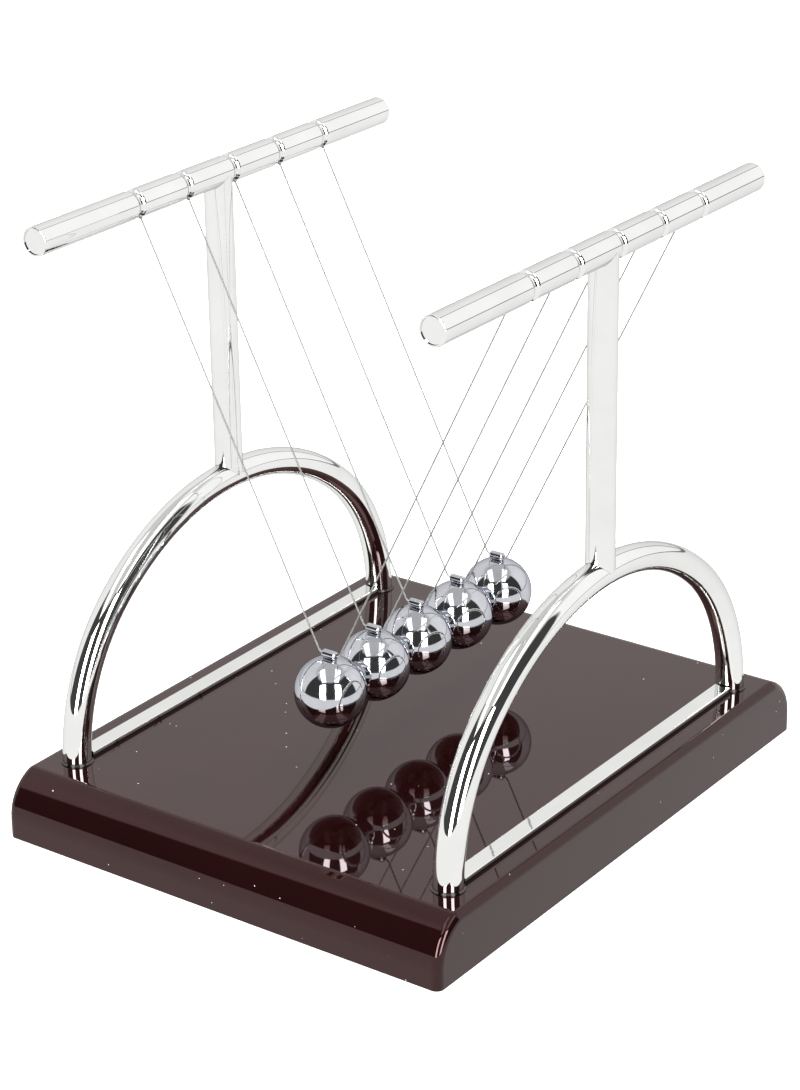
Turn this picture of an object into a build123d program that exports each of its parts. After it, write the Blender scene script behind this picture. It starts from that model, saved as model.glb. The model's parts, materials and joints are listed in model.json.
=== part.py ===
"""Newton's cradle: five steel balls hung by V lines between two T stands on a hollow base.

Frame: X across, from the left stand (-) to the right stand (+); Y along the top bars, from near (-)
to far (+); Z up. The origin is at the middle of the base, on the surface it stands on. Millimetres.
"""
from build123d import *
import os
from math import asin, atan2, cos, degrees, pi, radians, sin

# Base
BASE_WIDTH = 116.0          # along X
BASE_DEPTH = 143.0          # along Y
BASE_TOP = 15.2             # height of the flat top
SHELL_BOTTOM = 0.6          # the shell's rim stays clear of the table
SIDE_STRAIGHT_TOP = 5.0     # near and far sides are upright up to here, then curve inward
SIDE_SET_BACK = 7.5         # how far the near and far sides curve inward at the top
CREST_RADIUS = 2.4          # rounding between the flat top and the curved sides
EDGE_RADIUS = 1.8           # rounding round the left and right ends
SHELL_WALL = 2.2
PLATE_BOTTOM = 1.4
PLATE_THICKNESS = 1.5
PLATE_GAP = 0.3
PLATE_CORNER_RADIUS = 1.0
FOOT_RADIUS = 6.0
FOOT_EDGE_RADIUS = 0.4

# Stands
TUBE_RADIUS = 3.25
TUBE_BORE_RADIUS = 1.95
STAND_X = 50.0
LEG_Y = 56.5
ARCH_RISE = 49.3            # from the base top to the crown's centreline
ARCH_SIDE_RADIUS = 45.0     # centreline radius next to the legs
BRAZE_GAP = 0.02
SOCKET_FLOOR = 8.2
BOSS_RADIUS = 6.0
BOSS_BOTTOM = 6.0
COLLAR_RADIUS = 3.7
COLLAR_HEIGHT = 0.55
COLLAR_BEVEL = 0.38
STRIP_WIDTH = 4.0
STRIP_THICKNESS = 1.4
STRIP_EDGE_RADIUS = 0.25
STRIP_PEG_RADIUS = 1.2
STRIP_PEG_Y = 28.0
FIT_GAP = 0.05              # radial gap of pins, legs and screws in their holes

# Top bars
BAR_Z = 136.0
BAR_LENGTH = 120.0
BAR_RIM_RADIUS = 0.3
GROOVE_DEPTH = 0.55
GROOVE_HALF_WIDTH = 0.95
GROOVE_SHOULDER_RADIUS = 0.5
PLUG_RADIUS = 2.75
PLUG_FLANGE_LENGTH = 2.0
PLUG_SPIGOT_LENGTH = 4.0
PLUG_RECESS = 0.25

# Balls and lines
BALL_RADIUS = 8.0
BALL_PITCH = 16.05
BALL_Z = 34.8
ROW_SHIFT = 3.0             # the row sits off the posts' centre, so its middle line clears them
BAIL_LENGTH = 3.6
BAIL_RADIUS = 1.0
BAIL_BORE_RADIUS = 0.4
BAIL_RIM_RADIUS = 0.45
BAIL_SINK = 0.2             # how deep the ball's crown is let into the bail
LINE_RADIUS = 0.2
LINE_BEND_RADIUS = 1.2
LINE_TURN_X = 2.55          # where the slanting run, drawn on, meets the bail's axis
LINE_HOLE_RADIUS = 0.4
PIVOT_RADIUS = 3.35         # from the bar's axis to the point that a line swings about
PIVOT_SLOPE = 45.0          # the lines leave the bars inward and down at this angle
KNOT_RADIUS = 0.42
KNOT_GAP = 0.03
STOPPER_RADIUS = 0.8

# Screws
LEG_SCREW_RADIUS = 1.2
LEG_SCREW_HEAD_RADIUS = 2.4
LEG_SCREW_HEAD_HEIGHT = 1.7
LEG_SCREW_REACH = 6.0       # into the leg
LEG_SCREW_SOCKET_RADIUS = 1.2
LEG_SCREW_SOCKET_DEPTH = 0.9
INSERT_LENGTH = 8.0
WASHER_RADIUS = 3.4
WASHER_THICKNESS = 0.5
PLATE_SCREW_RADIUS = 1.1
PLATE_SCREW_REACH = 5.0     # above the plate
PLATE_SCREW_HEAD_RADIUS = 2.1
PLATE_SCREW_HEAD_HEIGHT = 1.0
PLATE_POST_RADIUS = 3.2

# Places
LEGS = [(x, y) for x in (-STAND_X, STAND_X) for y in (-LEG_Y, LEG_Y)]
STRIP_PEGS = [(x, y) for x in (-STAND_X, STAND_X) for y in (-STRIP_PEG_Y, STRIP_PEG_Y)]
PLATE_SCREWS = [(x, y) for x in (-30.0, 30.0) for y in (-52.0, 52.0)]
FEET = [(x, y) for x in (-41.0, 41.0) for y in (-40.0, 40.0)]
SIDES = {"left": -1, "right": 1}
ENDS = {"near": -1, "far": 1}
BALL_YS = [ROW_SHIFT + (number - 3) * BALL_PITCH for number in range(1, 6)]

# Worked out from the above
PLATE_TOP = PLATE_BOTTOM + PLATE_THICKNESS
SIDE_RISE = BASE_TOP - SIDE_STRAIGHT_TOP
SIDE_ARC_RADIUS = (SIDE_SET_BACK**2 + SIDE_RISE**2) / (2 * SIDE_SET_BACK)
SIDE_ARC_CENTRE = (BASE_DEPTH / 2 - SIDE_ARC_RADIUS, SIDE_STRAIGHT_TOP)
CROWN_Z = BASE_TOP + ARCH_RISE
SIDE_CENTRE_Y = LEG_Y - ARCH_SIDE_RADIUS
CROWN_EXCESS = ARCH_RISE - ARCH_SIDE_RADIUS
ARCH_CROWN_RADIUS = (SIDE_CENTRE_Y**2 + ARCH_RISE**2 - ARCH_SIDE_RADIUS**2) / (2 * CROWN_EXCESS)
CROWN_CENTRE_Z = CROWN_Z - ARCH_CROWN_RADIUS
ARCH_TURN = degrees(atan2(ARCH_CROWN_RADIUS - ARCH_RISE, SIDE_CENTRE_Y))
GROOVE_ARC_RADIUS = (GROOVE_HALF_WIDTH**2 + GROOVE_DEPTH**2) / (2 * GROOVE_DEPTH)
BAIL_Z = BALL_Z + BALL_RADIUS + BAIL_RADIUS - BAIL_SINK
PIVOT_X = STAND_X - PIVOT_RADIUS * cos(radians(PIVOT_SLOPE))
PIVOT_Z = BAR_Z - PIVOT_RADIUS * sin(radians(PIVOT_SLOPE))

os.makedirs("parts", exist_ok=True)


def save(piece, name):
    """Label a finished piece and write it to its own file."""
    piece.part.label = name
    export_step(piece.part, f"parts/{name}.step")


def make_base_shell():
    """Hollow gloss shell, open below, with leg bosses and posts for the plate's screws."""
    inner_radius = SIDE_ARC_RADIUS - SHELL_WALL
    ceiling = BASE_TOP - SHELL_WALL
    with BuildPart() as shell:
        for radius, top, width, mode in (
            (SIDE_ARC_RADIUS, BASE_TOP, BASE_WIDTH, Mode.ADD),
            (inner_radius, ceiling, BASE_WIDTH - 2 * SHELL_WALL, Mode.SUBTRACT),
        ):
            with BuildSketch(Plane.YZ):
                with BuildLine():
                    turn = degrees(asin((top - SIDE_STRAIGHT_TOP) / radius))
                    side = CenterArc(SIDE_ARC_CENTRE, radius, 0, turn)
                    Line(side @ 1, (0, top))
                    Polyline(side @ 0, (SIDE_ARC_CENTRE[0] + radius, SHELL_BOTTOM), (0, SHELL_BOTTOM))
                    mirror(about=Plane.YZ)
                make_face()
            extrude(amount=width / 2, both=True, mode=mode)
            if mode == Mode.ADD:
                crests = shell.edges().filter_by(Axis.X).group_by(Axis.Z)[-1]
                fillet(crests, CREST_RADIUS)
                end_edges = shell.faces().filter_by(Axis.X).edges()
                fillet(end_edges - end_edges.group_by(Axis.Z)[0], EDGE_RADIUS)
        with BuildSketch(Plane.XY.offset(BOSS_BOTTOM)):
            with Locations(*LEGS):
                Circle(BOSS_RADIUS)
        extrude(amount=ceiling - BOSS_BOTTOM + SHELL_WALL / 2)
        with BuildSketch(Plane.XY.offset(PLATE_TOP)):
            with Locations(*PLATE_SCREWS):
                Circle(PLATE_POST_RADIUS)
        extrude(amount=ceiling - PLATE_TOP + SHELL_WALL / 2)
        with BuildSketch(Plane.XY.offset(SOCKET_FLOOR)):
            with Locations(*LEGS):
                Circle(TUBE_RADIUS + FIT_GAP)
        extrude(amount=SHELL_WALL + BASE_TOP, mode=Mode.SUBTRACT)
        with BuildSketch(Plane.XY.offset(BOSS_BOTTOM)):
            with Locations(*LEGS):
                Circle(LEG_SCREW_RADIUS + FIT_GAP)
        extrude(amount=BASE_TOP, mode=Mode.SUBTRACT)
        with BuildSketch(Plane.XY.offset(PLATE_TOP)):
            with Locations(*PLATE_SCREWS):
                Circle(PLATE_SCREW_RADIUS + FIT_GAP)
        extrude(amount=PLATE_SCREW_REACH + 1, mode=Mode.SUBTRACT)
        with BuildSketch(Plane.XY.offset(ceiling)):
            with Locations(*STRIP_PEGS):
                Circle(STRIP_PEG_RADIUS + FIT_GAP)
        extrude(amount=2 * SHELL_WALL, mode=Mode.SUBTRACT)
    return shell


def make_bottom_plate():
    """Flat plate that closes the shell from below, inside its rim."""
    inset = SHELL_WALL + PLATE_GAP
    with BuildPart() as plate:
        with BuildSketch(Plane.XY.offset(PLATE_BOTTOM)):
            RectangleRounded(BASE_WIDTH - 2 * inset, BASE_DEPTH - 2 * inset, PLATE_CORNER_RADIUS)
            with Locations(*PLATE_SCREWS):
                Circle(PLATE_SCREW_RADIUS + FIT_GAP, mode=Mode.SUBTRACT)
        extrude(amount=PLATE_THICKNESS)
    return plate


def make_plate_screws():
    """Four short screws that hold the bottom plate."""
    with BuildPart() as screws:
        with BuildSketch(Plane.XY.offset(PLATE_BOTTOM)):
            with Locations(*PLATE_SCREWS):
                Circle(PLATE_SCREW_HEAD_RADIUS)
        extrude(amount=-PLATE_SCREW_HEAD_HEIGHT)
        rims = screws.edges().group_by(Axis.Z)[0]
        fillet(rims, PLATE_SCREW_HEAD_HEIGHT / 3)
        with BuildSketch(Plane.XY.offset(PLATE_BOTTOM)):
            with Locations(*PLATE_SCREWS):
                Circle(PLATE_SCREW_RADIUS)
        extrude(amount=PLATE_THICKNESS + PLATE_SCREW_REACH)
        with BuildSketch(Plane.XY.offset(PLATE_BOTTOM - PLATE_SCREW_HEAD_HEIGHT)):
            with Locations(*PLATE_SCREWS):
                Rectangle(1.6 * PLATE_SCREW_HEAD_RADIUS, 0.5)
                Rectangle(0.5, 1.6 * PLATE_SCREW_HEAD_RADIUS)
        extrude(amount=PLATE_SCREW_HEAD_HEIGHT / 2, mode=Mode.SUBTRACT)
    return screws


def make_rubber_feet():
    """Four round pads under the bottom plate."""
    with BuildPart() as feet:
        with BuildSketch():
            with Locations(*FEET):
                Circle(FOOT_RADIUS)
        extrude(amount=PLATE_BOTTOM)
        fillet(feet.edges().group_by(Axis.Z)[0], FOOT_EDGE_RADIUS)
    return feet


def make_leg_inserts():
    """Four threaded sleeves pressed into the ends of the arch legs."""
    with BuildPart() as inserts:
        with BuildSketch(Plane.XY.offset(SOCKET_FLOOR)):
            with Locations(*LEGS):
                Circle(TUBE_BORE_RADIUS - BRAZE_GAP)
                Circle(LEG_SCREW_RADIUS + FIT_GAP, mode=Mode.SUBTRACT)
        extrude(amount=INSERT_LENGTH)
    return inserts


def make_leg_screws():
    """Four socket-head screws that pull the legs down into the base."""
    head_top = BOSS_BOTTOM - WASHER_THICKNESS
    with BuildPart() as screws:
        with BuildSketch(Plane.XY.offset(head_top)):
            with Locations(*LEGS):
                Circle(LEG_SCREW_HEAD_RADIUS)
        extrude(amount=-LEG_SCREW_HEAD_HEIGHT)
        with BuildSketch(Plane.XY.offset(head_top)):
            with Locations(*LEGS):
                Circle(LEG_SCREW_RADIUS)
        extrude(amount=SOCKET_FLOOR + LEG_SCREW_REACH - head_top)
        with BuildSketch(Plane.XY.offset(head_top - LEG_SCREW_HEAD_HEIGHT)):
            with Locations(*LEGS):
                RegularPolygon(LEG_SCREW_SOCKET_RADIUS, 6)
        extrude(amount=LEG_SCREW_SOCKET_DEPTH, mode=Mode.SUBTRACT)
    return screws


def make_leg_washers():
    """Four flat washers under the leg screws' heads."""
    with BuildPart() as washers:
        with BuildSketch(Plane.XY.offset(BOSS_BOTTOM)):
            with Locations(*LEGS):
                Circle(WASHER_RADIUS)
                Circle(LEG_SCREW_RADIUS + FIT_GAP, mode=Mode.SUBTRACT)
        extrude(amount=-WASHER_THICKNESS)
    return washers


def make_collar(x, y):
    """Thin bevelled ring round one leg, on the base."""
    with BuildPart() as collar:
        with BuildSketch(Plane.XY.offset(BASE_TOP)):
            with Locations((x, y)):
                Circle(COLLAR_RADIUS)
                Circle(TUBE_RADIUS + FIT_GAP, mode=Mode.SUBTRACT)
        extrude(amount=COLLAR_HEIGHT)
        top_rims = collar.edges().group_by(Axis.Z)[-1]
        chamfer(top_rims.sort_by(SortBy.RADIUS)[-1], COLLAR_BEVEL)
    return collar


def make_tie_strip(x):
    """Flat strip on the base between the two legs of one arch, with two locating pegs."""
    with BuildPart() as strip:
        with BuildSketch(Plane.XY.offset(BASE_TOP)):
            with Locations((x, 0)):
                Rectangle(STRIP_WIDTH, 2 * LEG_Y)
            with Locations((x, -LEG_Y), (x, LEG_Y)):
                Circle(COLLAR_RADIUS + BRAZE_GAP, mode=Mode.SUBTRACT)
        extrude(amount=STRIP_THICKNESS)
        long_edges = strip.edges().filter_by(Axis.Y).group_by(Axis.Z)[-1]
        fillet(long_edges, STRIP_EDGE_RADIUS)
        with BuildSketch(Plane.XY.offset(BASE_TOP)):
            with Locations((x, -STRIP_PEG_Y), (x, STRIP_PEG_Y)):
                Circle(STRIP_PEG_RADIUS)
        extrude(amount=-SHELL_WALL)
    return strip


def make_arch(x):
    """Bent tube: two upright legs joined by side arcs and a flatter crown arc."""
    with BuildPart() as arch:
        with BuildLine(Plane.YZ.offset(x)):
            Line((-LEG_Y, SOCKET_FLOOR), (-LEG_Y, BASE_TOP))
            CenterArc((-SIDE_CENTRE_Y, BASE_TOP), ARCH_SIDE_RADIUS, 180, -ARCH_TURN)
            CenterArc((0, CROWN_CENTRE_Z), ARCH_CROWN_RADIUS, 180 - ARCH_TURN, 2 * ARCH_TURN - 180)
            CenterArc((SIDE_CENTRE_Y, BASE_TOP), ARCH_SIDE_RADIUS, ARCH_TURN, -ARCH_TURN)
            Line((LEG_Y, BASE_TOP), (LEG_Y, SOCKET_FLOOR))
        with BuildSketch(Plane.XY.offset(SOCKET_FLOOR)):
            with Locations((x, -LEG_Y)):
                Circle(TUBE_RADIUS)
                Circle(TUBE_BORE_RADIUS, mode=Mode.SUBTRACT)
        sweep()
    return arch


def make_post(x):
    """Upright tube, coped below over the arch's crown and above under the top bar."""
    with BuildPart() as post:
        with BuildSketch(Plane.XY.offset(CROWN_Z)):
            with Locations((x, 0)):
                Circle(TUBE_RADIUS)
                Circle(TUBE_BORE_RADIUS, mode=Mode.SUBTRACT)
        extrude(amount=BAR_Z - CROWN_Z)
        with BuildSketch(Plane.XZ):
            with Locations((x, CROWN_Z)):
                Circle(TUBE_RADIUS + BRAZE_GAP)
        revolve(axis=Axis((x, 0, CROWN_CENTRE_Z), (1, 0, 0)), mode=Mode.SUBTRACT)
        with BuildSketch(Plane.XZ):
            with Locations((x, BAR_Z)):
                Circle(TUBE_RADIUS + BRAZE_GAP)
        extrude(amount=BAR_LENGTH / 2, both=True, mode=Mode.SUBTRACT)
    return post


def make_top_bar(x):
    """Tube along Y with one turned groove and one small hole for each line."""
    inward = -1 if x > 0 else 1
    hole_direction = (inward * cos(radians(PIVOT_SLOPE)), 0, -sin(radians(PIVOT_SLOPE)))
    groove_centre_z = BAR_Z + TUBE_RADIUS - GROOVE_DEPTH + GROOVE_ARC_RADIUS
    first_y = BALL_YS[0] - BALL_PITCH / 2
    last_y = BALL_YS[-1] + BALL_PITCH / 2
    with BuildPart() as bar:
        with BuildSketch(Plane.XZ):
            with Locations((x, BAR_Z)):
                Circle(TUBE_RADIUS)
        extrude(amount=BAR_LENGTH / 2, both=True)
        fillet(bar.edges().filter_by(GeomType.CIRCLE), BAR_RIM_RADIUS)
        with BuildSketch(Plane.YZ.offset(x)):
            with Locations(*[(y, groove_centre_z) for y in BALL_YS]):
                Circle(GROOVE_ARC_RADIUS)
        revolve(axis=Axis((x, 0, BAR_Z), (0, 1, 0)), mode=Mode.SUBTRACT)
        circles = bar.edges().filter_by(GeomType.CIRCLE)
        fillet(circles.filter_by_position(Axis.Y, first_y, last_y), GROOVE_SHOULDER_RADIUS)
        with BuildSketch(Plane.XZ):
            with Locations((x, BAR_Z)):
                Circle(TUBE_BORE_RADIUS)
        extrude(amount=BAR_LENGTH / 2, both=True, mode=Mode.SUBTRACT)
        for end in ENDS.values():
            with BuildSketch(Plane.XZ.offset(-end * (BAR_LENGTH / 2 - PLUG_FLANGE_LENGTH - PLUG_RECESS))):
                with Locations((x, BAR_Z)):
                    Circle(PLUG_RADIUS)
            extrude(amount=-end * BAR_LENGTH / 2, mode=Mode.SUBTRACT)
        with BuildSketch(Plane((x, 0, BAR_Z), x_dir=(0, 1, 0), z_dir=hole_direction)):
            with Locations(*[(y, 0) for y in BALL_YS]):
                Circle(LINE_HOLE_RADIUS)
        extrude(amount=2 * TUBE_RADIUS, mode=Mode.SUBTRACT)
    return bar


def make_end_plug(x, end):
    """Flanged plug, set slightly inside one end of a top bar."""
    flange_inner = BAR_LENGTH / 2 - PLUG_RECESS - PLUG_FLANGE_LENGTH
    with BuildPart() as plug:
        with BuildSketch(Plane.XZ.offset(-end * flange_inner)):
            with Locations((x, BAR_Z)):
                Circle(PLUG_RADIUS - BRAZE_GAP)
        extrude(amount=-end * PLUG_FLANGE_LENGTH)
        with BuildSketch(Plane.XZ.offset(-end * flange_inner)):
            with Locations((x, BAR_Z)):
                Circle(TUBE_BORE_RADIUS - BRAZE_GAP)
        extrude(amount=end * PLUG_SPIGOT_LENGTH)
    return plug


def make_line_tails(x):
    """Five line ends inside one bar: a stopper knot in the bore and a tail out through the hole."""
    inward = -1 if x > 0 else 1
    slope_x = inward * cos(radians(PIVOT_SLOPE))
    slope_z = -sin(radians(PIVOT_SLOPE))
    knot_offset = TUBE_BORE_RADIUS - STOPPER_RADIUS - FIT_GAP
    tail_end = PIVOT_RADIUS - KNOT_RADIUS - KNOT_GAP
    knot_origin = (x + slope_x * knot_offset, 0, BAR_Z + slope_z * knot_offset)
    with BuildPart() as tails:
        with BuildSketch(Plane(knot_origin, x_dir=(0, 1, 0), z_dir=(slope_x, 0, slope_z))):
            with Locations(*[(y, 0) for y in BALL_YS]):
                Circle(LINE_RADIUS)
        extrude(amount=tail_end - knot_offset)
        with Locations(*[(knot_origin[0], y, knot_origin[2]) for y in BALL_YS]):
            Sphere(STOPPER_RADIUS)
    return tails


def make_ball(y):
    """Solid steel ball, hanging at rest."""
    with BuildPart() as ball:
        with Locations((0, y, BALL_Z)):
            Sphere(BALL_RADIUS)
    return ball


def make_bail(y):
    """Short tube across the ball's crown, which the line runs through."""
    with BuildPart() as bail:
        with BuildSketch(Plane.YZ):
            with Locations((y, BAIL_Z)):
                Circle(BAIL_RADIUS)
        extrude(amount=BAIL_LENGTH / 2, both=True)
        fillet(bail.edges().filter_by(GeomType.CIRCLE), BAIL_RIM_RADIUS)
        with BuildSketch(Plane.YZ):
            with Locations((y, BAIL_Z)):
                Circle(BAIL_BORE_RADIUS)
        extrude(amount=BAIL_LENGTH / 2, both=True, mode=Mode.SUBTRACT)
        with Locations((0, y, BALL_Z)):
            Sphere(BALL_RADIUS, mode=Mode.SUBTRACT)
    return bail


def make_line(y):
    """One taut line: down from the left bar, through the bail and up to the right bar."""
    slant = (Vector(PIVOT_X, PIVOT_Z) - Vector(LINE_TURN_X, BAIL_Z)).normalized()
    start = Vector(PIVOT_X, PIVOT_Z) - slant * (KNOT_RADIUS + KNOT_GAP)
    with BuildPart() as line:
        with BuildLine(Plane.XZ.offset(-y)) as route:
            FilletPolyline(
                (-start.X, start.Y),
                (-LINE_TURN_X, BAIL_Z),
                (LINE_TURN_X, BAIL_Z),
                (start.X, start.Y),
                radius=LINE_BEND_RADIUS,
            )
        with BuildSketch(Plane(origin=route.line @ 0, z_dir=route.line % 0)):
            Circle(LINE_RADIUS)
        sweep()
    length = route.wire().length
    volume_ratio = line.part.volume / (pi * LINE_RADIUS**2 * length)
    print(f"line at y={y:.2f}: {length:.2f} mm long, {volume_ratio:.4f} of its wire volume")
    return line


def make_knot(x, y):
    """Small round knot where a line leaves its bar; the line swings about its centre."""
    with BuildPart() as knot:
        with Locations((x, y, PIVOT_Z)):
            Sphere(KNOT_RADIUS)
    return knot


save(make_base_shell(), "base_shell")
save(make_bottom_plate(), "bottom_plate")
save(make_plate_screws(), "plate_screws")
save(make_rubber_feet(), "rubber_feet")
save(make_leg_inserts(), "leg_inserts")
save(make_leg_screws(), "leg_screws")
save(make_leg_washers(), "leg_washers")

for side, sign in SIDES.items():
    stand_x = sign * STAND_X
    save(make_arch(stand_x), f"{side}_arch")
    save(make_tie_strip(stand_x), f"{side}_tie_strip")
    save(make_post(stand_x), f"{side}_post")
    save(make_top_bar(stand_x), f"{side}_top_bar")
    save(make_line_tails(stand_x), f"{side}_line_tails")
    for end_name, end_sign in ENDS.items():
        save(make_collar(stand_x, end_sign * LEG_Y), f"{end_name}_{side}_collar")
        save(make_end_plug(stand_x, end_sign), f"{end_name}_{side}_end_plug")

for number, ball_y in enumerate(BALL_YS, start=1):
    save(make_ball(ball_y), f"ball_{number}")
    save(make_bail(ball_y), f"bail_{number}")
    save(make_line(ball_y), f"line_{number}")
    for side, sign in SIDES.items():
        save(make_knot(sign * PIVOT_X, ball_y), f"line_{number}_{side}_knot")
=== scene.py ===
"""Studio picture of the Newton's cradle.

Chrome T stands, polished balls and nylon lines on a lacquered base.
"""
import bpy
import json
from math import cos, radians, sin
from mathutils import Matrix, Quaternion, Vector


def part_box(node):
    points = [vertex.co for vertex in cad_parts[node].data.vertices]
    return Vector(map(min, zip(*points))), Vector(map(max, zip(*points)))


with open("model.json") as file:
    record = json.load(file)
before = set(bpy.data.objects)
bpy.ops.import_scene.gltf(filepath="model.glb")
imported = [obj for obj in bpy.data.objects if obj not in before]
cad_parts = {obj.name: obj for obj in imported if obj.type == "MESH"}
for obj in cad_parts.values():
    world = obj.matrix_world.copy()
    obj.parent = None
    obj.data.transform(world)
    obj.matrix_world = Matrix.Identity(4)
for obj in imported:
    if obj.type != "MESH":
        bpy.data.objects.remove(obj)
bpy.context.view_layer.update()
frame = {"nodes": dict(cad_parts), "record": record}

# The camera stands in front, to the right and above; angles in degrees, lengths in metres
CAMERA_AZIMUTH = 36.53
CAMERA_ELEVATION = 22.88
CAMERA_ROLL = -1.07
CAMERA_DISTANCE = 0.6775
CAMERA_TARGET = Vector((0, 0, 0.07))
CAMERA_SLIDE = (-0.00596, -0.00466)   # to the right and up, across the view
CAMERA_LENS = 102.24                  # on a 36 mm long side
CAMERA_SHIFT = (0.0183, -0.0229)

# The studio; radiances are relative to white, lengths in metres
FLOOR_RADIUS = 3.0
BACKDROP_RADIUS = 4.5
WALL_LEFT = 0.97
WALL_RIGHT = 1.08
CEILING = 0.66
ROOM = 0.055                  # the dim room behind the camera
LOW_SOFTBOX = 13.0
HIGH_SOFTBOX = 2.5
SEAM = 0.22                   # where two walls meet, and along the foot of the walls
MIRRORED_FLOOR = 1.0          # the floor that polished parts see, plain and even
MIRROR_HEIGHT = 0.0002        # of that floor
GLOW = 0.75                   # of the floor that the camera sees
SEAM_WIDTH = 0.045            # as a sine of the angle, like the heights and widths below
FOOT_HEIGHT = 0.015
CEILING_EDGE = (0.80, 0.14)   # where the ceiling starts, and how softly
ROOM_EDGE = (0.80, 0.08)      # where the dim room ends upwards, and how softly
ROOM_LEFT_LIFT = 0.10         # how much higher it ends on the left
LAMP_DISTANCE = 1.6
OVERHEAD_WATTS = 42.0
FILL_WATTS = 24.0

# Finishes, and the height where the painted shade on the chrome ends; lengths in metres
# Below this height the chrome is darkened as painted shade, a dark ring round each foot
COLLAR_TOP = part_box("near_left_collar")[1][2] + 0.0001
SPECKS_PER_METRE = 210.0      # cells that may hold a speck of dust, along each axis
SPECK_RADIUS = 0.035          # as a part of a cell


def towards(azimuth, elevation):
    """Unit vector towards an azimuth (0 is -Y, 90 is +X) and elevation, in degrees."""
    a, e = radians(azimuth), radians(elevation)
    return Vector((sin(a) * cos(e), -cos(a) * cos(e), sin(e)))


def make_camera():
    """The camera, at the photograph's angle."""
    camera = bpy.data.objects.new("camera", bpy.data.cameras.new("camera"))
    bpy.context.scene.collection.objects.link(camera)
    back = towards(CAMERA_AZIMUTH, CAMERA_ELEVATION)
    turn = back.to_track_quat("Z", "Y")
    slide = turn @ Vector((*CAMERA_SLIDE, 0))
    camera.location = CAMERA_TARGET + back * CAMERA_DISTANCE + slide
    camera.rotation_mode = "QUATERNION"
    camera.rotation_quaternion = turn @ Quaternion((0, 0, 1), radians(CAMERA_ROLL))
    camera.data.lens = CAMERA_LENS
    camera.data.shift_x, camera.data.shift_y = CAMERA_SHIFT
    bpy.context.scene.camera = camera


# ---------------------------------------------------------------- node helpers

class Shader:
    """A material's node tree, with short ways to add and join nodes."""

    def __init__(self, tree):
        self.tree = tree

    def node(self, kind, **values):
        """A new node; values named after its sockets or properties are set on it."""
        made = self.tree.nodes.new(kind)
        for key, value in values.items():
            if hasattr(made, key):
                setattr(made, key, value)
            else:
                made.inputs[key.replace("_", " ")].default_value = value
        return made

    def join(self, output, target):
        self.tree.links.new(output, target)

    def math(self, operation, a, b=0.0, clamp=False):
        """a and b are numbers or outputs."""
        made = self.tree.nodes.new("ShaderNodeMath")
        made.operation = operation
        made.use_clamp = clamp
        for socket, value in zip(made.inputs, (a, b)):
            if isinstance(value, (int, float)):
                socket.default_value = value
            else:
                self.join(value, socket)
        return made.outputs[0]

    def dot(self, vector, direction):
        made = self.tree.nodes.new("ShaderNodeVectorMath")
        made.operation = "DOT_PRODUCT"
        self.join(vector, made.inputs[0])
        made.inputs[1].default_value = direction
        return made.outputs["Value"]

    def step(self, value, edge, width):
        """0 below edge, 1 above it, with a smooth change of that width."""
        made = self.tree.nodes.new("ShaderNodeMapRange")
        made.interpolation_type = "SMOOTHSTEP"
        self.join(value, made.inputs["Value"])
        made.inputs["From Min"].default_value = edge - width / 2
        made.inputs["From Max"].default_value = edge + width / 2
        return made.outputs["Result"]

    def between(self, value, low, high, width):
        return self.math("MULTIPLY", self.step(value, low, width),
                         self.math("SUBTRACT", 1.0, self.step(value, high, width)))

    def ramp(self, value, *stops):
        """A colour ramp; stops are (place, (r, g, b))."""
        made = self.tree.nodes.new("ShaderNodeValToRGB")
        self.join(value, made.inputs["Fac"])
        elements = made.color_ramp.elements
        while len(elements) < len(stops):
            elements.new(0.5)
        for element, (place, colour) in zip(elements, stops):
            element.position = place
            element.color = (*colour, 1)
        return made.outputs["Color"]

    def mix(self, amount, a, b):
        """a where amount is 0, b where it is 1; a and b are numbers or outputs."""
        made = self.node("ShaderNodeMix", data_type="FLOAT")
        self.join(amount, made.inputs["Factor"])
        for socket, value in zip((made.inputs["A"], made.inputs["B"]), (a, b)):
            if isinstance(value, (int, float)):
                socket.default_value = value
            else:
                self.join(value, socket)
        return made.outputs["Result"]

    def spread(self, value, low, high):
        """value from 0..1 to low..high."""
        made = self.tree.nodes.new("ShaderNodeMapRange")
        self.join(value, made.inputs["Value"])
        made.inputs["To Min"].default_value = low
        made.inputs["To Max"].default_value = high
        return made.outputs["Result"]


def new_material(name):
    """(material, shader helper, principled node, object coordinates in metres)"""
    material = bpy.data.materials.new(name)
    material.use_nodes = True
    shader = Shader(material.node_tree)
    surface = material.node_tree.nodes["Principled BSDF"]
    place = shader.node("ShaderNodeTexCoord").outputs["Object"]
    return material, shader, surface, place


def noise(shader, place, size, detail=3.0, stretch=(1, 1, 1)):
    """Noise whose features are about size metres, longer along the axes with a small stretch."""
    mapping = shader.node("ShaderNodeMapping")
    shader.join(place, mapping.inputs["Vector"])
    mapping.inputs["Scale"].default_value = stretch
    made = shader.node("ShaderNodeTexNoise", Scale=1 / size, Detail=detail, Roughness=0.55)
    shader.join(mapping.outputs["Vector"], made.inputs["Vector"])
    return made.outputs["Fac"]


def add_bump(shader, surface, height, distance, sockets=("Normal",)):
    """Height times distance metres, as a bump."""
    bump = shader.node("ShaderNodeBump", Strength=1.0, Distance=distance)
    shader.join(height, bump.inputs["Height"])
    for socket in sockets:
        shader.join(bump.outputs["Normal"], surface.inputs[socket])


# ---------------------------------------------------------------- materials

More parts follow.
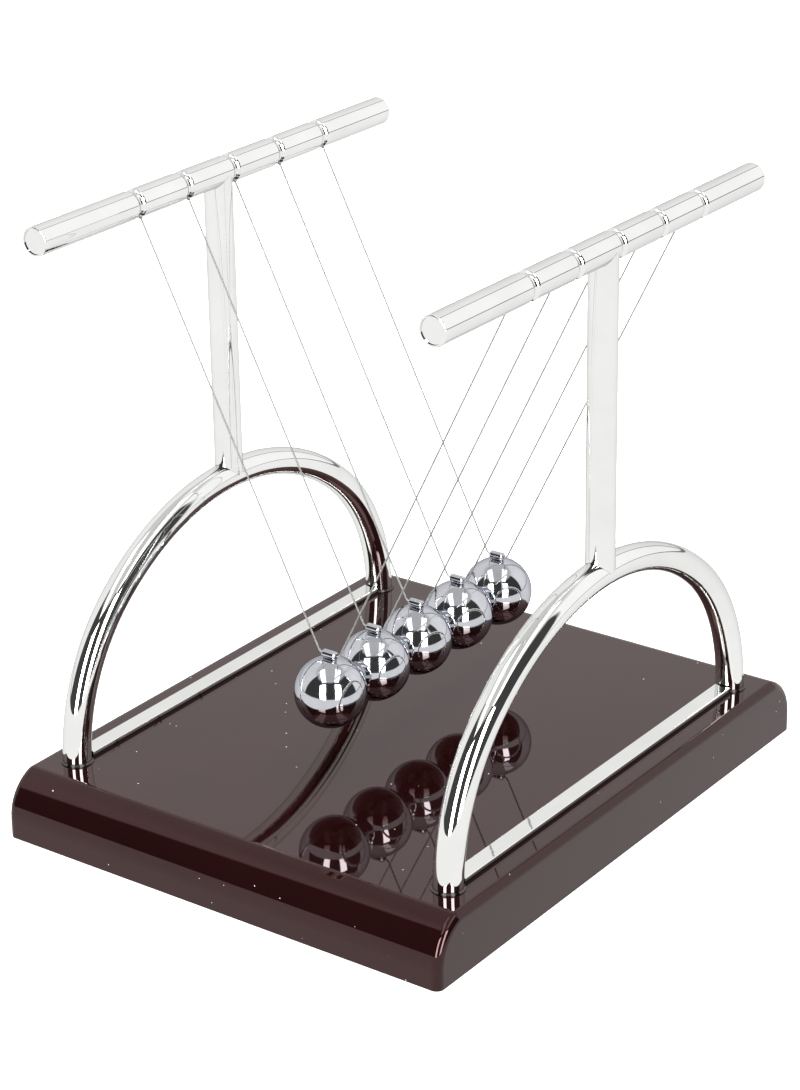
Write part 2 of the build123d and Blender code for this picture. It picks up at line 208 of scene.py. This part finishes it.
def make_chrome():
    """Bright plating, very slightly uneven, darker at grazing angles, with painted shade close to
    the base.
    """
    material, shader, surface, place = new_material("chrome_plate")
    surface.inputs["Metallic"].default_value = 1.0
    surface.inputs["Specular Tint"].default_value = (0.70, 0.70, 0.69, 1)
    patches = noise(shader, place, 0.012)
    tone = shader.ramp(patches, (0.3, (0.83, 0.835, 0.815)), (0.7, (0.88, 0.88, 0.865)))
    # Painted shade: below the top of the collars the chrome's colour is cut to about an eighth, a
    # dark ring round each foot
    above_painted_shade = shader.step(shader.dot(place, (0, 0, 1)), COLLAR_TOP, 0.0002)
    painted_shade_tone = shader.ramp(above_painted_shade, (0.0, (0.12, 0.11, 0.11)), (1.0, (1, 1, 1)))
    painted_shade_mix = shader.node("ShaderNodeMix", data_type="RGBA", blend_type="MULTIPLY")
    painted_shade_mix.inputs["Factor"].default_value = 1.0
    shader.join(tone, painted_shade_mix.inputs["A"])
    shader.join(painted_shade_tone, painted_shade_mix.inputs["B"])
    shader.join(painted_shade_mix.outputs["Result"], surface.inputs["Base Color"])
    haze = shader.spread(noise(shader, place, 0.004, detail=5.0), 0.01, 0.05)
    shader.join(haze, surface.inputs["Roughness"])
    add_bump(shader, surface, noise(shader, place, 0.006, detail=2.0), 0.000012)
    return material


def make_polished_steel():
    """Ground and polished ball steel: faintly blue, with fine polishing marks."""
    material, shader, surface, place = new_material("polished_steel")
    surface.inputs["Metallic"].default_value = 1.0
    surface.inputs["Specular Tint"].default_value = (0.50, 0.51, 0.55, 1)
    patches = noise(shader, place, 0.003, detail=4.0)
    tone = shader.ramp(patches, (0.3, (0.55, 0.56, 0.60)), (0.7, (0.63, 0.64, 0.67)))
    shader.join(tone, surface.inputs["Base Color"])
    marks = noise(shader, place, 0.0012, detail=6.0, stretch=(1, 1, 0.12))
    shader.join(shader.spread(marks, 0.03, 0.10), surface.inputs["Roughness"])
    add_bump(shader, surface, marks, 0.0000012)
    return material


def make_lacquer():
    """Deep maroon gloss over a dark body, with a trace of orange peel and a few specks of dust."""
    material, shader, surface, place = new_material("lacquered_plastic")
    patches = noise(shader, place, 0.03)
    tone = shader.ramp(patches, (0.3, (0.010, 0.0020, 0.0019)), (0.7, (0.013, 0.0026, 0.0025)))
    cells = shader.node("ShaderNodeTexVoronoi", Scale=SPECKS_PER_METRE)
    shader.join(place, cells.inputs["Vector"])
    speck = shader.math("LESS_THAN", cells.outputs["Distance"], SPECK_RADIUS)
    mix = shader.node("ShaderNodeMix", data_type="RGBA")
    shader.join(speck, mix.inputs["Factor"])
    shader.join(tone, mix.inputs["A"])
    mix.inputs["B"].default_value = (0.75, 0.70, 0.68, 1)
    shader.join(mix.outputs["Result"], surface.inputs["Base Color"])
    haze = shader.spread(noise(shader, place, 0.008), 0.010, 0.024)
    shader.join(haze, surface.inputs["Roughness"])
    surface.inputs["IOR"].default_value = 1.56
    surface.inputs["Specular Tint"].default_value = (1.0, 0.62, 0.62, 1)
    add_bump(shader, surface, noise(shader, place, 0.02, detail=0.0), 0.000003)
    return material


def make_nylon():
    """Clear fishing-line nylon, slightly milky."""
    material, shader, surface, place = new_material("nylon_line")
    patches = noise(shader, place, 0.004)
    tone = shader.ramp(patches, (0.3, (0.34, 0.34, 0.33)), (0.7, (0.42, 0.42, 0.41)))
    shader.join(tone, surface.inputs["Base Color"])
    shader.join(shader.spread(noise(shader, place, 0.002), 0.35, 0.55), surface.inputs["Roughness"])
    surface.inputs["IOR"].default_value = 1.53
    surface.inputs["Transmission Weight"].default_value = 0.25
    return material


def make_moulded(name, dark, light, grain, depth, roughness):
    """Matt moulded plastic or rubber: a fine grain of that size and depth, in metres."""
    material, shader, surface, place = new_material(name)
    height = noise(shader, place, grain, detail=4.0)
    shader.join(shader.ramp(height, (0.35, dark), (0.65, light)), surface.inputs["Base Color"])
    shader.join(shader.spread(height, *roughness), surface.inputs["Roughness"])
    add_bump(shader, surface, height, depth)
    return material


def make_turned(name, dark, light, roughness):
    """Turned or plated metal with fine marks."""
    material, shader, surface, place = new_material(name)
    surface.inputs["Metallic"].default_value = 1.0
    marks = noise(shader, place, 0.0006, detail=4.0, stretch=(1, 1, 6))
    shader.join(shader.ramp(marks, (0.3, dark), (0.7, light)), surface.inputs["Base Color"])
    shader.join(shader.spread(marks, *roughness), surface.inputs["Roughness"])
    add_bump(shader, surface, marks, 0.000004)
    return material


def dress():
    """Gives every CAD node its finished material, by the slot that the record names for it."""
    finishes = {
        "chrome_plate": make_chrome(),
        "polished_steel": make_polished_steel(),
        "lacquered_plastic": make_lacquer(),
        "nylon_line": make_nylon(),
        "black_plastic": make_moulded(
            "black_plastic", dark=(0.012, 0.012, 0.012), light=(0.03, 0.03, 0.03),
            grain=0.0008, depth=0.00006, roughness=(0.5, 0.7)),
        "rubber": make_moulded(
            "rubber", dark=(0.02, 0.02, 0.02), light=(0.045, 0.043, 0.042),
            grain=0.0012, depth=0.0001, roughness=(0.75, 0.95)),
        "zinc_steel": make_turned(
            "zinc_steel", dark=(0.45, 0.46, 0.48), light=(0.68, 0.68, 0.66), roughness=(0.25, 0.4)),
        "brass": make_turned(
            "brass", dark=(0.70, 0.50, 0.20), light=(0.85, 0.65, 0.30), roughness=(0.2, 0.35)),
    }
    for part in frame["record"]["subparts"]:
        node = frame["nodes"][part["node"]]
        for material_slot in node.material_slots:
            material_slot.material = finishes[part["material_slot"]]


# ---------------------------------------------------------------- studio

def make_disc(name, height):
    """Large round disc at that height."""
    bpy.ops.mesh.primitive_circle_add(
        vertices=128, radius=FLOOR_RADIUS, fill_type="NGON", location=(0, 0, height))
    disc = bpy.context.object
    disc.name = name
    return disc


def show_only_to(stage_piece, *rays):
    """Lets a stage piece be seen by those kinds of ray alone."""
    for ray in ("camera", "diffuse", "glossy", "transmission", "volume_scatter", "shadow"):
        setattr(stage_piece, f"visible_{ray}", ray in rays)


def make_glow(name, strength):
    """As new_material, for a surface that shines by itself."""
    material, shader, surface, place = new_material(name)
    surface.inputs["Base Color"].default_value = (0, 0, 0, 1)
    surface.inputs["Specular IOR Level"].default_value = 0.0
    surface.inputs["Emission Color"].default_value = (1, 1, 1, 1)
    surface.inputs["Emission Strength"].default_value = strength
    return material, shader, surface, place


def make_floor():
    """Large pale disc that the cradle stands on."""
    floor = make_disc("floor", 0)
    material, shader, surface, place = new_material("floor")
    patches = noise(shader, place, 0.2)
    tone = shader.ramp(patches, (0.3, (0.92, 0.92, 0.92)), (0.7, (0.94, 0.94, 0.94)))
    shader.join(tone, surface.inputs["Base Color"])
    surface.inputs["Roughness"].default_value = 0.9
    surface.inputs["Specular IOR Level"].default_value = 0.1
    surface.inputs["Emission Color"].default_value = (1, 1, 1, 1)
    surface.inputs["Emission Strength"].default_value = GLOW
    floor.data.materials.append(material)
    show_only_to(floor, "camera", "shadow", "transmission")


def make_mirrored_floor():
    """The floor that the polished parts see: plain, even white."""
    mirrored = make_disc("mirrored_floor", MIRROR_HEIGHT)
    mirrored.data.materials.append(make_glow("mirrored_floor", MIRRORED_FLOOR)[0])
    show_only_to(mirrored, "glossy", "diffuse")


def make_backdrop():
    """White dome behind everything that the camera looks at."""
    bpy.ops.mesh.primitive_uv_sphere_add(segments=64, ring_count=32, radius=BACKDROP_RADIUS)
    backdrop = bpy.context.object
    backdrop.name = "backdrop"
    backdrop.data.materials.append(make_glow("backdrop", 1.0)[0])
    show_only_to(backdrop, "camera")


def softboxes(shader, direction, elevation, wide, high):
    """Mask of two equal softboxes, left and right of the camera's azimuth, at that elevation."""
    out = towards(CAMERA_AZIMUTH, elevation)
    across = towards(CAMERA_AZIMUTH + 90, 0)
    up = across.cross(out)
    depth = shader.math("MAXIMUM", shader.dot(direction, out), 0.001)
    x = shader.math("ABSOLUTE", shader.math("DIVIDE", shader.dot(direction, across), depth))
    y = shader.math("DIVIDE", shader.dot(direction, up), depth)
    mask = shader.math("MULTIPLY", shader.between(x, *wide, 0.03), shader.between(y, *high, 0.04))
    return shader.math("MULTIPLY", mask, shader.step(shader.dot(direction, out), 0.05, 0.02))


def make_studio():
    """Two pale walls, a grey ceiling, a dim room behind the camera, and softboxes round it."""
    world = bpy.data.worlds.new("studio")
    bpy.context.scene.world = world
    world.use_nodes = True
    shader = Shader(world.node_tree)
    background = world.node_tree.nodes["Background"]
    direction = shader.node("ShaderNodeTexCoord").outputs["Generated"]
    height = shader.dot(direction, (0, 0, 1))
    sideways = shader.dot(direction, (1, 0, 0))
    facing = shader.dot(direction, towards(CAMERA_AZIMUTH, 0))
    walls = shader.spread(shader.step(sideways, 0.0, 0.01), WALL_LEFT, WALL_RIGHT)
    seam = shader.between(sideways, -SEAM_WIDTH, 0.0, 0.01)
    foot = shader.math("SUBTRACT", 1.0, shader.step(height, FOOT_HEIGHT, 0.01))
    joins = shader.math("MAXIMUM", seam, foot)
    walls = shader.math("MULTIPLY", walls, shader.spread(joins, 1.0, SEAM))
    overhead = shader.step(height, *CEILING_EDGE)
    light = shader.mix(overhead, walls, CEILING)
    left = shader.math("SUBTRACT", 1.0, shader.step(sideways, -0.38, 0.1))
    over_the_room = shader.math("SUBTRACT", height, shader.math("MULTIPLY", left, ROOM_LEFT_LIFT))
    below_ceiling = shader.math("SUBTRACT", 1.0, shader.step(over_the_room, *ROOM_EDGE))
    in_front = shader.math("MULTIPLY", shader.step(facing, 0.06, 0.05), below_ceiling)
    light = shader.mix(in_front, light, ROOM)
    low_boxes = softboxes(shader, direction, CAMERA_ELEVATION, (0.28, 0.66), (-0.45, 0.70))
    high_boxes = softboxes(shader, direction, CAMERA_ELEVATION + 60, (0.24, 0.52), (-0.35, 0.55))
    light = shader.mix(high_boxes, light, HIGH_SOFTBOX)
    light = shader.mix(low_boxes, light, LOW_SOFTBOX)
    shader.join(light, background.inputs["Strength"])
    background.inputs["Color"].default_value = (1, 1, 1, 1)
    world.cycles_visibility.diffuse = False


def make_soft_light(name, azimuth, elevation, size, power):
    """Large area light that fills the shadows and doesn't show in the chrome."""
    lamp = bpy.data.lights.new(name, "AREA")
    lamp.shape = "DISK"
    lamp.size = size
    lamp.energy = power
    lamp_object = bpy.data.objects.new(name, lamp)
    bpy.context.scene.collection.objects.link(lamp_object)
    out = towards(azimuth, elevation)
    lamp_object.location = out * LAMP_DISTANCE
    lamp_object.rotation_mode = "QUATERNION"
    lamp_object.rotation_quaternion = out.to_track_quat("Z", "Y")
    lamp_object.visible_glossy = False


make_camera()
dress()
make_floor()
make_mirrored_floor()
make_backdrop()
make_studio()
make_soft_light("overhead", CAMERA_AZIMUTH, 86, size=1.4, power=OVERHEAD_WATTS)
make_soft_light("fill", -20, 10, size=1.2, power=FILL_WATTS)
bpy.context.scene.view_settings.view_transform = "Standard"
